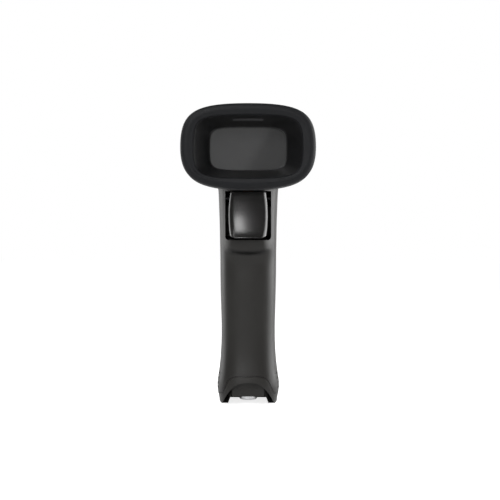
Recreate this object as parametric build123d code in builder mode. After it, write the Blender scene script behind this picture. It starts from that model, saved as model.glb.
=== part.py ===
from build123d import *
from math import asin, sin
import os

os.makedirs("parts", exist_ok=True)

# A hand-held 2-D code scanner with a pistol grip. X is its width, -Y its front and +Z up.
# The origin is the middle of its footprint's height: z = 0 is the plane of the foot's rim.
# All sizes are millimetres.

# Walls, gaps and fits
wall = 2.2                      # moulded shells
seam_gap = 0.12                 # between the two shells
foot_gap = 0.25                 # between the foot and the shells
sliding_gap = 0.4               # between pieces that pass each other
seat_gap = 0.1                  # between a piece and its pocket
pin_clearance = 0.05            # running fit, on the radius
thread_clearance = 0.02         # between a screw and its boss, on the radius

# The power cell sets the height and the girth of the grip
cell_diameter = 18.3
cell_length = 65.0
cell_set_back = 3.2             # cell axis behind the grip's axis
room_beside_cell = 3.75
room_before_cell = 9.75
room_behind_cell = 1.05
foot_plate_top = 16.0
cell_plate_thickness = 0.5
cell_bottom = foot_plate_top + cell_plate_thickness
cell_top = cell_bottom + cell_length
cell_radius = cell_diameter / 2

waist_half_width = cell_radius + room_beside_cell + wall
waist_front = cell_radius - cell_set_back + room_before_cell + wall
waist_rear = cell_radius + cell_set_back + room_behind_cell + wall

# How far the grip swells from its waist: (height, sideways, forwards, backwards)
grip_rows = [
    (0.0, 1.2, 1.7, 0.6),
    (5.0, 1.8, 2.5, 1.3),
    (10.2, 2.3, 3.1, 1.8),
    (16.0, 1.6, 2.4, 1.3),
    (24.0, 0.65, 1.0, 0.5),
    (cell_bottom + 20.5, 0.0, 0.0, 0.0),
    (cell_top - 26.5, 0.25, 0.1, 1.0),
    (cell_top - 9.5, 0.6, 0.6, 1.8),
    (cell_top - 1.5, 0.65, 1.1, 2.0),
    (cell_top + 3.0, 0.7, 2.7, 2.0),
    (cell_top + 7.0, 0.8, 4.0, 2.0),
    (cell_top + 13.5, 0.9, 4.4, 2.1),
    (cell_top + 24.5, 1.2, 4.5, 2.5),
    (cell_top + 32.5, 1.5, 4.7, 4.2),
    (cell_top + 39.5, 2.1, 5.1, 8.4),
    (cell_top + 48.5, 2.9, 5.6, 15.4),
]
grip_full_front = 0.78          # 0.55 is an ellipse, 1.1 is nearly a rectangle
grip_full_rear = 0.72
rim_round = 1.2

# Nose bumper and head
head_axis_z = cell_top + 57.5
bumper_half_width = 35.5
bumper_up = 22.9                # from the head's axis to the top
bumper_down = 22.1
bumper_front = -50.0
bumper_length = 14.0
bumper_proud = 1.2              # bumper stands out from the shells
bumper_wall = 2.2
bumper_face = 2.4               # thickness of its front ring
bumper_round = 3.4
bumper_lip_round = 1.1
ring_side = 7.2                 # widths of the front ring
ring_top = 6.4
ring_bottom = 5.6
head_full_up = 0.80
head_full_down = 0.76
head_rear = 50.0
head_droop = 2.5                # the head's axis falls this much to the rear
head_taper_power = 2.4
head_taper_past_rear = 2.0
head_rear_round = 2.0

head_front = bumper_front + bumper_length
head_half_width = bumper_half_width - bumper_proud
head_up = bumper_up - bumper_proud
head_down = bumper_down - bumper_proud

# Seam between the shells: level under the head's side, then down behind the trigger
seam_y = 1.5
seam_below_axis = 3.0
seam_bend = 13.0

# Window and the funnel round it
window_width = 43.5
window_height = 25.5
window_thickness = 1.5
window_lip = 1.4
window_raise = 0.2              # above the head's axis
window_full = 1.05
frame_depth = 3.0
frame_lip_depth = 1.2
frame_rim = 1.9
funnel_full = 0.92
funnel_wall = 1.6
flange_thickness = 1.6
spigot_length = 5.0
spigot_wall = 1.7
light_bar_width = 16.0
light_bar_depth = 1.8
light_bar_y = -43.1
gasket_thickness = 0.9
gasket_width = 1.1

# Trigger and its switch
trigger_width = 21.5            # at its widest
trigger_end_width = 19.3        # at its top and bottom
trigger_wall = 1.8
trigger_edge_round = 2.6
trigger_opening_width = 25.3
opening_floor = cell_top + 9.1
opening_top = cell_top + 36.0
opening_corner = 2.0
opening_rear = -9.0
pin_y = -13.5
pin_z = cell_top + 32.5
pin_diameter = 2.5
pin_grip = 1.2                  # how far the pin goes into each cheek
hub_radius = 3.0
switch_z = cell_top + 22.5
switch_front = -11.0
switch_depth = 5.0
switch_width = 12.8
switch_height = 6.4
plunger_diameter = 2.0
plunger_reach = 1.5
plunger_depth = 1.4
switch_board_thickness = 1.0
trigger_spring_z = cell_top + 15.5
spring_coil_radius = 2.0
spring_wire = 0.7
spring_turns = 6
spring_front = -16.0
spring_rear = -8.0
spring_bar_depth = 1.8
spring_bar_height = 7.0

# Foot, its dock recess and its screw
foot_height = 6.0
recess_rear = 13.2
skirt_notch_rear = -9.0
plug_lift = 0.6                 # the plug's bottom above the rim
recess_ceiling = 11.0
recess_pocket_width = 19.0
recess_pocket_front = -2.0
foot_screw_y = -10.5
screw_block_width = 17.6
screw_block_bottom = 4.6
screw_block_depth = 13.0
foot_screw_head = 10.0
foot_screw_head_height = 2.2
foot_screw_slot = 1.4
foot_screw_slot_depth = 1.0
foot_screw_shank = 3.0
foot_screw_reach = 26.5
insert_length = 6.0
insert_boss_cap = 1.5
insert_wall = 0.7
insert_boss_wall = 1.1
insert_bottom = 21.0
plug_gap = 0.6
collar_height = 4.5
collar_gap = 1.3
seal_gap = 0.35
seal_height = 2.4
seal_from_plate = 1.2
charge_pad = (4.6, 6.0, 0.8)
charge_pad_x = 5.0
charge_pad_y = 6.0
grip_tick_count = 4
grip_tick_depth = 0.35
grip_tick_pitch = 2.6
grip_tick_width = 0.9
grip_tick_length = 5.0
grip_tick_bottom = 9.0
grip_tick_x = 15.6
grip_tick_y = -9.5

# Screws that hold the shells
case_screw_head = 4.6
case_screw_head_height = 2.0
case_screw_shank = 2.2
case_screw_length = 14.0
case_screw_drive = 2.2
case_boss_radius = 2.6
case_sink_boss_radius = 3.2
grip_screw_x = 10.0
grip_screw_z = cell_top + 7.2
grip_screw_head_y = 12.0
chin_screw_from_side = 10.3
chin_screw_y = -24.0
chin_screw_head_below_axis = 12.0

# Boards
board_thickness = 1.2
main_board_half_width = 17.0
main_board_front = -8.0
main_board_from_rear = 17.0
post_radius = 2.6
post_x = 13.0
post_inset = 6.0
board_screw_head = 4.2
board_screw_head_height = 1.4
board_screw_shank = 1.9
board_screw_bite = 7.0
contact_board_above_cell = 2.5
contact_board_half_width = 10.0
contact_board_front = -8.0
contact_board_rear = 12.0

# Scan engine and its bracket
engine_width = 26.0
engine_height = 16.0
engine_front = -27.0
engine_depth = 14.0
engine_raise = 0.5
tray_thickness = 1.8
bracket_wall = 1.6
lens_barrel_radius = 4.5
lens_barrel_length = 3.8
lens_barrel_wall = 0.55
lens_x = -4.0
aimer_x = 6.5
aimer_radius = 2.4

# Beeper and status light
beeper_y = 14.0
beeper_radius = 7.0
beeper_height = 3.5
beeper_below_roof = 0.8
beeper_ring_wall = 0.7
sound_slot_count = 5
sound_slot_pitch = 2.2
sound_slot_width = 1.0
sound_slot_length = 9.0
status_lens_y = 30.0
status_lens_length = 8.0
status_lens_width = 6.0
status_lens_corner = 2.0
light_pipe_radius = 1.8

far = 120.0                     # longer than the whole scanner, for cuts that run right through


def save(piece, name):
    piece.part.label = name
    export_step(piece.part, f"parts/{name}.step")


def facing_front(y):
    """Plane across the head at y, with its normal to the front and its own Y upwards."""
    return Plane(origin=(0, y, 0), x_dir=(1, 0, 0), z_dir=(0, -1, 0))


def oval(plane, centre, half_width, up, down, full_up, full_down):
    """Closed section of four cubic curves, one in each quarter, level at its top and bottom."""
    def at(x, y):
        return (x, centre + y)

    with BuildSketch(plane) as section:
        with BuildLine():
            for side in (1, -1):
                Bezier(at(side * half_width, 0), at(side * half_width, full_up * up),
                       at(side * full_up * half_width, up), at(0, up))
                Bezier(at(0, -down), at(side * full_down * half_width, -down),
                       at(side * half_width, -full_down * down), at(side * half_width, 0))
        make_face()
    return section.sketch


def head_section(y, inset):
    """The head across y: it tapers as 1 - t^p under a root, so that its back is a dome."""
    t = (y - head_front) / (head_rear + head_taper_past_rear - head_front)
    share = (1 - t**head_taper_power) ** 0.5
    return oval(facing_front(y), head_axis_z - head_droop * t * t, head_half_width * share - inset,
                head_up * share - inset, head_down * share - inset, head_full_up, head_full_down)


def head_sections(inset, count=12):
    """Sections at equal turns round the dome: t^p is the square of the turn's sine."""
    length = head_rear + head_taper_past_rear - head_front
    last_turn = asin(((head_rear - head_front - inset) / length) ** (head_taper_power / 2))
    turns = [last_turn * step / count for step in range(count + 1)]
    return [head_section(head_front + length * sin(turn) ** (2 / head_taper_power), inset)
            for turn in turns]


def grip_section(row, inset):
    height, sideways, forwards, backwards = row
    return oval(Plane.XY.offset(height), 0, waist_half_width + sideways - inset,
                waist_rear + backwards - inset, waist_front + forwards - inset,
                grip_full_rear, grip_full_front)


def nose_section(y, inset, from_bumper=True):
    """Section of the bumper, or of the shells behind it, moved inwards by inset."""
    inset = inset if from_bumper else inset + bumper_proud
    return oval(facing_front(y), head_axis_z, bumper_half_width - inset, bumper_up - inset,
                bumper_down - inset, head_full_up, head_full_down)


def mouth_section(y, grow):
    """Opening of the bumper's front ring."""
    return oval(facing_front(y), head_axis_z, bumper_half_width - ring_side + grow,
                bumper_up - ring_top + grow, bumper_down - ring_bottom + grow,
                funnel_full, funnel_full)


def window_section(y, grow):
    """Outline of the window, made larger by grow."""
    half_height = window_height / 2 + grow
    return oval(facing_front(y), head_axis_z + window_raise, window_width / 2 + grow,
                half_height, half_height, window_full, window_full)


# The outside and the inside of the whole case, which the two shells and the foot are cut from
with BuildPart() as outside:
    loft(sections=head_sections(0))
    fillet(outside.edges().sort_by(Axis.Y)[-1], head_rear_round)
    loft(sections=[grip_section(row, 0) for row in grip_rows])
    fillet(outside.edges().group_by(Axis.Z)[0], rim_round)

with BuildPart() as inside:
    loft(sections=head_sections(wall))
    loft(sections=[grip_section(row, wall) for row in grip_rows])


def before_seam(gap):
    """Everything in front of the seam, and under it in the head, grown by gap."""
    level = head_axis_z - seam_below_axis + gap
    drop = seam_y + gap
    with BuildPart() as region:
        with BuildSketch(Plane.YZ):
            with BuildLine():
                Polyline((drop - seam_bend, level), (-far, level), (-far, -far), (drop, -far),
                         (drop, level - seam_bend))
                TangentArc((drop, level - seam_bend), (drop - seam_bend, level), tangent=(0, 1))
            make_face()
        extrude(amount=far, both=True)
    return region.part


def foot_space(gap):
    """The foot's height all round, with an arch that rises at the front, grown by gap."""
    with BuildPart() as region:
        with BuildSketch(Plane.XY):
            Rectangle(far, far)
        extrude(amount=foot_height + gap)
        with BuildSketch(Plane.XZ):
            with BuildLine():
                low, shoulder, crown = 14.3 + gap, 10.9 + gap, 15.6 + gap
                Polyline((-shoulder, 13.6), (-low, foot_height), (-low, 0), (low, 0),
                         (low, foot_height), (shoulder, 13.6))
                Spline((-shoulder, 13.6), (-8.2, crown - 0.45), (0, crown), (8.2, crown - 0.45),
                       (shoulder, 13.6))
            make_face()
        extrude(amount=far)
    return region.part


front_region = before_seam(0)
front_region_grown = before_seam(seam_gap)
foot_region = foot_space(0)
foot_region_grown = foot_space(foot_gap)

main_board_bottom = head_axis_z
main_board_top = main_board_bottom + board_thickness
main_board_rear = head_rear - main_board_from_rear
post_places = [(x, y) for x in (-post_x, post_x)
               for y in (main_board_front + post_inset, main_board_rear - post_inset)]
chin_screw_x = head_half_width - chin_screw_from_side
chin_places = [(x, chin_screw_y) for x in (-chin_screw_x, chin_screw_x)]
chin_head_top = head_axis_z - chin_screw_head_below_axis
grip_screw_places = [(x, grip_screw_z) for x in (-grip_screw_x, grip_screw_x)]
screw_bore = case_screw_shank / 2 + thread_clearance
screw_sink = case_screw_head / 2 + seat_gap
insert_radius = foot_screw_shank / 2 + seat_gap + insert_wall
seam_level = head_axis_z - seam_below_axis
cheek_x = trigger_opening_width / 2
pin_half_length = cheek_x + pin_grip
engine_bottom = head_axis_z + engine_raise - engine_height / 2
contact_board_bottom = cell_top + contact_board_above_cell
contact_board_top = contact_board_bottom + board_thickness
spring_bar_top = trigger_spring_z + spring_coil_radius + spring_wire + 0.2
switch_board_front = switch_front + switch_depth
switch_board_rear = switch_board_front + switch_board_thickness
board_screw_bore = board_screw_shank / 2 + thread_clearance

def roof(y):
    """Inner height of the head over its own middle line."""
    t = (y - head_front) / (head_rear + head_taper_past_rear - head_front)
    return head_axis_z - head_droop * t * t + head_up * (1 - t**head_taper_power) ** 0.5 - wall


beeper_top = roof(beeper_y + beeper_radius) - beeper_below_roof
beeper_bottom = beeper_top - beeper_height

# Skin of the flare at the foot, as deep as the grip ticks are cut
with BuildPart() as tick_skin:
    loft(sections=[grip_section(row, -1.0) for row in grip_rows[:6]])
    loft(sections=[grip_section(row, grip_tick_depth) for row in grip_rows[:6]], mode=Mode.SUBTRACT)

with BuildPart() as grip_ticks:
    for side in (-1, 1):
        for step in range(grip_tick_count):
            with Locations((side * grip_tick_x, grip_tick_y,
                            grip_tick_bottom + step * grip_tick_pitch)):
                Box(4.6, grip_tick_length, grip_tick_width)
    add(tick_skin.part, mode=Mode.INTERSECT)

# Front shell: the chin under the nose and the front half of the grip, with the trigger's opening
with BuildPart() as front_shell:
    add(outside.part)
    add(inside.part, mode=Mode.SUBTRACT)
    # cheeks that carry the trigger's pin
    for side in (-1, 1):
        with Locations((side * (cheek_x + 1.5), pin_y, pin_z - 2)):
            Box(3, 11, 14)
    # bar behind the trigger that its spring pushes on
    with Locations((0, spring_rear, spring_bar_top)):
        Box(far, spring_bar_depth, spring_bar_height, align=(Align.CENTER, Align.MIN, Align.MAX))
    # ribs the switch board stands against
    for side in (-1, 1):
        with Locations((side * 10.5, switch_board_rear, switch_z)):
            Box(9, 1.6, 12, align=(Align.CENTER, Align.MIN, Align.CENTER))
    # ribs under the scan engine's tray
    for side in (-1, 1):
        with Locations((side * 12, engine_front + 6, engine_bottom - tray_thickness)):
            Box(2, 14, 10, align=(Align.CENTER, Align.CENTER, Align.MAX))
    # boss of the foot's screw, on a web from the front wall
    with BuildSketch(Plane.XY.offset(insert_bottom)):
        with Locations((0, foot_screw_y)):
            Circle(insert_radius + insert_boss_wall)
            Rectangle(2.4, 14, align=(Align.CENTER, Align.MAX))
    extrude(amount=insert_length + insert_boss_cap)
    # bosses of the shell screws
    with BuildSketch(Plane.XZ.offset(-seam_y)):
        with Locations(*grip_screw_places):
            Circle(case_boss_radius)
    extrude(amount=far)
    with BuildSketch(Plane.XY.offset(seam_level)):
        with Locations(*chin_places):
            Circle(case_sink_boss_radius)
    extrude(amount=-far)
    add(outside.part, mode=Mode.INTERSECT)
    add(front_region, mode=Mode.INTERSECT)
    add(foot_region_grown, mode=Mode.SUBTRACT)
    # trigger's opening
    with BuildSketch(Plane.XZ.offset(-opening_rear)) as opening:
        with Locations((0, opening_floor)):
            Rectangle(trigger_opening_width, opening_top - opening_floor,
                      align=(Align.CENTER, Align.MIN))
        fillet(opening.vertices().group_by(Axis.Y)[0], opening_corner)
    extrude(amount=far, mode=Mode.SUBTRACT)
    # holes for the pin, the foot screw's insert and the shell screws
    with BuildSketch(Plane.YZ):
        with Locations((pin_y, pin_z)):
            Circle(pin_diameter / 2 + thread_clearance)
    extrude(amount=pin_half_length, both=True, mode=Mode.SUBTRACT)
    with BuildSketch(Plane.XY.offset(insert_bottom)):
        with Locations((0, foot_screw_y)):
            Circle(insert_radius + thread_clearance)
    extrude(amount=insert_length, mode=Mode.SUBTRACT)
    with BuildSketch(Plane.XZ.offset(-seam_y)):
        with Locations(*grip_screw_places):
            Circle(screw_bore)
    extrude(amount=case_screw_length - grip_screw_head_y + seam_y + 0.5, mode=Mode.SUBTRACT)
    with BuildSketch(Plane.XY.offset(chin_head_top)):
        with Locations(*chin_places):
            Circle(screw_sink)
    extrude(amount=-far, mode=Mode.SUBTRACT)
    with BuildSketch(Plane.XY.offset(chin_head_top)):
        with Locations(*chin_places):
            Circle(screw_bore)
    extrude(amount=far, mode=Mode.SUBTRACT)
    add(grip_ticks.part, mode=Mode.SUBTRACT)
save(front_shell, "front_shell")

# Rear shell: the top and back of the head and the back of the grip
with BuildPart() as rear_shell:
    add(outside.part)
    add(inside.part, mode=Mode.SUBTRACT)
    # posts that the main board hangs from
    with BuildSketch(Plane.XY.offset(main_board_top)):
        with Locations(*post_places):
            Circle(post_radius)
    extrude(amount=far)
    # bosses of the shell screws
    with BuildSketch(Plane.XZ.offset(-seam_y)):
        with Locations(*grip_screw_places):
            Circle(case_sink_boss_radius)
    extrude(amount=-far)
    with BuildSketch(Plane.XY.offset(seam_level)):
        with Locations(*chin_places):
            Circle(case_boss_radius)
    extrude(amount=far)
    # ring round the beeper
    with BuildSketch(Plane.XY.offset(beeper_bottom)):
        with Locations((0, beeper_y)):
            Circle(beeper_radius + seat_gap + beeper_ring_wall)
            Circle(beeper_radius + seat_gap, mode=Mode.SUBTRACT)
    extrude(amount=far)
    # shelf under the contact board
    with Locations((0, contact_board_rear - 1.5, contact_board_bottom)):
        Box(far, far, 1.6, align=(Align.CENTER, Align.MIN, Align.MAX))
    add(outside.part, mode=Mode.INTERSECT)
    add(front_region_grown, mode=Mode.SUBTRACT)
    add(foot_region_grown, mode=Mode.SUBTRACT)
    with BuildSketch(Plane.XY.offset(beeper_top)):
        with Locations((0, beeper_y)):
            with GridLocations(0, sound_slot_pitch, 1, sound_slot_count):
                SlotOverall(sound_slot_length, sound_slot_width)
    extrude(amount=far, mode=Mode.SUBTRACT)
    with BuildSketch(Plane.XY.offset(main_board_top)):
        with Locations((0, status_lens_y)):
            RectangleRounded(status_lens_width + 2 * seat_gap, status_lens_length + 2 * seat_gap,
                             status_lens_corner + seat_gap)
    extrude(amount=far, mode=Mode.SUBTRACT)
    with BuildSketch(Plane.XY.offset(main_board_top)):
        with Locations(*post_places):
            Circle(board_screw_bore)
    extrude(amount=board_screw_bite + 0.5, mode=Mode.SUBTRACT)
    with BuildSketch(Plane.XZ.offset(-seam_y)):
        with Locations(*grip_screw_places):
            Circle(screw_bore)
    extrude(amount=-far, mode=Mode.SUBTRACT)
    with BuildSketch(Plane.XZ.offset(-grip_screw_head_y)):
        with Locations(*grip_screw_places):
            Circle(screw_sink)
    extrude(amount=-far, mode=Mode.SUBTRACT)
    with BuildSketch(Plane.XY.offset(chin_head_top)):
        with Locations(*chin_places):
            Circle(screw_bore)
    extrude(amount=case_screw_length + 0.5, mode=Mode.SUBTRACT)
save(rear_shell, "rear_shell")

# Shell screws: two up from the chin and two forwards through the back of the grip
with BuildPart() as shell_screws:
    with BuildSketch(Plane.XY.offset(chin_head_top)):
        with Locations(*chin_places):
            Circle(case_screw_head / 2)
    extrude(amount=-case_screw_head_height)
    with BuildSketch(Plane.XY.offset(chin_head_top)):
        with Locations(*chin_places):
            Circle(case_screw_shank / 2)
    extrude(amount=case_screw_length)
    with BuildSketch(Plane.XZ.offset(-grip_screw_head_y)):
        with Locations(*grip_screw_places):
            Circle(case_screw_head / 2)
    extrude(amount=-case_screw_head_height)
    with BuildSketch(Plane.XZ.offset(-grip_screw_head_y)):
        with Locations(*grip_screw_places):
            Circle(case_screw_shank / 2)
    extrude(amount=case_screw_length)
    # six-lobed drives, kept as plain hexagons
    with BuildSketch(Plane.XY.offset(chin_head_top - case_screw_head_height)):
        with Locations(*chin_places):
            RegularPolygon(case_screw_drive / 2, 6)
    extrude(amount=1.2, mode=Mode.SUBTRACT)
    with BuildSketch(Plane.XZ.offset(-grip_screw_head_y - case_screw_head_height)):
        with Locations(*grip_screw_places):
            RegularPolygon(case_screw_drive / 2, 6)
    extrude(amount=1.2, mode=Mode.SUBTRACT)
save(shell_screws, "shell_screws")

# Nose bumper: a rubber ring that wraps the nose, with a front ring that covers the bezel's flange
with BuildPart() as nose_bumper:
    extrude(nose_section(head_front, 0), amount=bumper_length)
    fillet(nose_bumper.edges().group_by(Axis.Y)[0], bumper_round)
    extrude(nose_section(head_front, bumper_wall), amount=bumper_length - bumper_face,
            mode=Mode.SUBTRACT)
    extrude(mouth_section(head_front, 0), amount=far, mode=Mode.SUBTRACT)
    fillet(nose_bumper.edges().group_by(Axis.Y)[0].sort_by(SortBy.LENGTH)[:4], bumper_lip_round)
save(nose_bumper, "nose_bumper")

# Nose bezel: flange, skirt and spigot in one moulding with the funnel down to the window's frame
bezel_front = bumper_front + bumper_face + seat_gap
spigot_rear = head_front + spigot_length
with BuildPart() as nose_bezel:
    extrude(nose_section(head_front, bumper_wall + seat_gap), amount=head_front - bezel_front)
    extrude(nose_section(spigot_rear, wall + 2 * seat_gap, from_bumper=False),
            amount=spigot_length + flange_thickness)
    extrude(nose_section(spigot_rear, wall + 2 * seat_gap + spigot_wall, from_bumper=False),
            amount=spigot_rear - bezel_front - flange_thickness, mode=Mode.SUBTRACT)
    loft(sections=[mouth_section(bezel_front, funnel_wall),
                   window_section(head_front, funnel_wall - window_lip)])
    extrude(window_section(head_front + frame_depth, frame_rim), amount=frame_depth)
    loft(sections=[mouth_section(bezel_front, 0), window_section(head_front, -window_lip)],
         mode=Mode.SUBTRACT)
    extrude(window_section(head_front + frame_depth, -window_lip), amount=frame_depth,
            mode=Mode.SUBTRACT)
    extrude(window_section(head_front + frame_depth, seat_gap),
            amount=frame_depth - frame_lip_depth, mode=Mode.SUBTRACT)
    # slot of the light bar, in the funnel's ceiling
    with Locations((0, light_bar_y, head_axis_z)):
        Box(light_bar_width, light_bar_depth, bumper_up - bumper_wall - spigot_wall - 1.2,
            align=(Align.CENTER, Align.CENTER, Align.MIN), mode=Mode.SUBTRACT)
save(nose_bezel, "nose_bezel")

# Light bar: a frosted strip that fills its slot in the funnel's ceiling
with BuildPart() as nose_light_bar:
    loft(sections=[mouth_section(bezel_front, funnel_wall),
                   window_section(head_front, funnel_wall - window_lip)])
    loft(sections=[mouth_section(bezel_front, 0), window_section(head_front, -window_lip)],
         mode=Mode.SUBTRACT)
    with Locations((0, light_bar_y, head_axis_z)):
        Box(light_bar_width, light_bar_depth, bumper_up - bumper_wall - spigot_wall - 1.2,
            align=(Align.CENTER, Align.CENTER, Align.MIN), mode=Mode.INTERSECT)
save(nose_light_bar, "nose_light_bar")

with BuildPart() as light_bar_led:
    with Locations((0, light_bar_y, nose_light_bar.part.bounding_box().max.Z + 0.2)):
        Box(light_bar_width - 4, 1.2, 0.7, align=(Align.CENTER, Align.CENTER, Align.MIN))
save(light_bar_led, "light_bar_led")

# Window and the gasket that the engine's bracket presses on it
window_rear = head_front + frame_lip_depth + window_thickness
with BuildPart() as window:
    extrude(window_section(window_rear, 0), amount=window_thickness)
save(window, "window")

gasket_rear = window_rear + gasket_thickness
with BuildPart() as window_gasket:
    extrude(window_section(gasket_rear, -seat_gap / 2), amount=gasket_thickness)
    extrude(window_section(gasket_rear, -seat_gap / 2 - gasket_width), amount=gasket_thickness,
            mode=Mode.SUBTRACT)
save(window_gasket, "window_gasket")

# Bracket: a frame behind the gasket with a tray and two walls that hold the scan engine
engine_rear = engine_front + engine_depth
tray_half_width = engine_width / 2 + seat_gap + bracket_wall
with BuildPart() as engine_bracket:
    extrude(window_section(gasket_rear + bracket_wall, 1.4), amount=bracket_wall)
    with Locations((0, gasket_rear, engine_bottom)):
        Box(2 * tray_half_width, engine_rear + 1 - gasket_rear, tray_thickness,
            align=(Align.CENTER, Align.MIN, Align.MAX))
    extrude(window_section(gasket_rear + bracket_wall, -4.2), amount=bracket_wall,
            mode=Mode.SUBTRACT)
    for side in (-1, 1):
        with Locations((side * (tray_half_width - bracket_wall / 2), engine_front + engine_depth / 2,
                        engine_bottom)):
            Box(bracket_wall, engine_depth, engine_height / 2,
                align=(Align.CENTER, Align.CENTER, Align.MIN))
save(engine_bracket, "engine_bracket")

# Scan engine: a block with its imaging lens, aiming lens and two lamps on its front
engine_axis_z = engine_bottom + engine_height / 2
with BuildPart() as scan_engine:
    with Locations((0, engine_front, engine_bottom)):
        Box(engine_width, engine_depth, engine_height,
            align=(Align.CENTER, Align.MIN, Align.MIN))
    chamfer(scan_engine.edges().filter_by(Axis.Y), 1.0)
save(scan_engine, "scan_engine")

with BuildPart() as lens_barrel:
    with BuildSketch(Plane.XZ.offset(-engine_front)):
        with Locations((lens_x, engine_axis_z)):
            Circle(lens_barrel_radius)
            Circle(lens_barrel_radius - lens_barrel_wall, mode=Mode.SUBTRACT)
    extrude(amount=lens_barrel_length)
save(lens_barrel, "lens_barrel")

with BuildPart() as lens_glass:
    with BuildSketch(Plane.XZ.offset(-engine_front + lens_barrel_length - 2.2)):
        with Locations((lens_x, engine_axis_z)):
            Circle(lens_barrel_radius - lens_barrel_wall - thread_clearance)
    extrude(amount=1.5)
    fillet(lens_glass.edges().group_by(Axis.Y)[0], 1.1)
save(lens_glass, "lens_glass")

with BuildPart() as aimer_lens:
    with BuildSketch(Plane.XZ.offset(-engine_front)):
        with Locations((aimer_x, engine_axis_z)):
            Circle(aimer_radius)
    extrude(amount=1.6)
    fillet(aimer_lens.edges().group_by(Axis.Y)[0], 1.0)
save(aimer_lens, "aimer_lens")

with BuildPart() as illumination_leds:
    for x in (-engine_width / 2 + 2.3, engine_width / 2 - 2.3):
        with Locations((x, engine_front, engine_axis_z)):
            Box(3.2, 1.0, 4.0, align=(Align.CENTER, Align.MAX, Align.CENTER))
save(illumination_leds, "illumination_leds")

# Main board, hung under its posts, and what stands on it
with BuildPart() as main_board:
    with Locations((0, main_board_front, main_board_bottom)):
        Box(2 * main_board_half_width, main_board_rear - main_board_front, board_thickness,
            align=(Align.CENTER, Align.MIN, Align.MIN))
    fillet(main_board.edges().filter_by(Axis.Z), 2)
    with BuildSketch(Plane.XY.offset(main_board_bottom)):
        with Locations(*post_places):
            Circle(board_screw_shank / 2 + seat_gap)
    extrude(amount=board_thickness, mode=Mode.SUBTRACT)
save(main_board, "main_board")

connector_y = main_board_front + 2.4
with BuildPart() as board_chips:
    for x, y, width, length, height in ((0, connector_y, 12, 3.6, 1.8), (0, 5, 10, 10, 1.2),
                                        (10.5, 9, 6, 8, 1.0), (-10.5, 8, 5, 5, 1.6),
                                        (-10.5, 15, 4, 3, 1.2)):
        with Locations((x, y, main_board_top)):
            Box(width, length, height, align=(Align.CENTER, Align.CENTER, Align.MIN))
save(board_chips, "board_chips")

with BuildPart() as wireless_module:
    with Locations((0, main_board_rear - 14, main_board_top)):
        Box(13, 9, 2.2, align=(Align.CENTER, Align.CENTER, Align.MIN))
save(wireless_module, "wireless_module")

with BuildPart() as board_screws:
    with BuildSketch(Plane.XY.offset(main_board_bottom)):
        with Locations(*post_places):
            Circle(board_screw_head / 2)
    extrude(amount=-board_screw_head_height)
    with BuildSketch(Plane.XY.offset(main_board_bottom)):
        with Locations(*post_places):
            Circle(board_screw_shank / 2)
    extrude(amount=board_thickness + board_screw_bite)
save(board_screws, "board_screws")

# Ribbon from the scan engine to the connector at the front of the main board
with BuildPart() as engine_flex:
    with Locations((0, engine_rear, main_board_top + 0.8)):
        Box(10, connector_y - 1.8 - engine_rear, 0.3,
            align=(Align.CENTER, Align.MIN, Align.MIN))
save(engine_flex, "engine_flex")

# Beeper under the sound slots, and the status lens with its lamp
with BuildPart() as beeper:
    with BuildSketch(Plane.XY.offset(beeper_bottom)):
        with Locations((0, beeper_y)):
            Circle(beeper_radius)
    extrude(amount=beeper_height)
    with BuildSketch(Plane.XY.offset(beeper_top)):
        with Locations((0, beeper_y)):
            Circle(1.2)
    extrude(amount=-1.5, mode=Mode.SUBTRACT)
save(beeper, "beeper")

status_led_height = 0.8
with BuildPart() as status_lens:
    add(outside.part)
    add(inside.part, mode=Mode.SUBTRACT)
    with BuildSketch(Plane.XY.offset(main_board_top + status_led_height + sliding_gap)):
        with Locations((0, status_lens_y)):
            Circle(light_pipe_radius)
    extrude(amount=far)
    with BuildSketch(Plane.XY.offset(main_board_top + status_led_height + sliding_gap)):
        with Locations((0, status_lens_y)):
            RectangleRounded(status_lens_width, status_lens_length, status_lens_corner)
    extrude(amount=far, mode=Mode.INTERSECT)
    add(outside.part, mode=Mode.INTERSECT)
save(status_lens, "status_lens")

with BuildPart() as status_led:
    with Locations((0, status_lens_y, main_board_top)):
        Box(3, 2, status_led_height, align=(Align.CENTER, Align.CENTER, Align.MIN))
save(status_led, "status_led")

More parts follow.
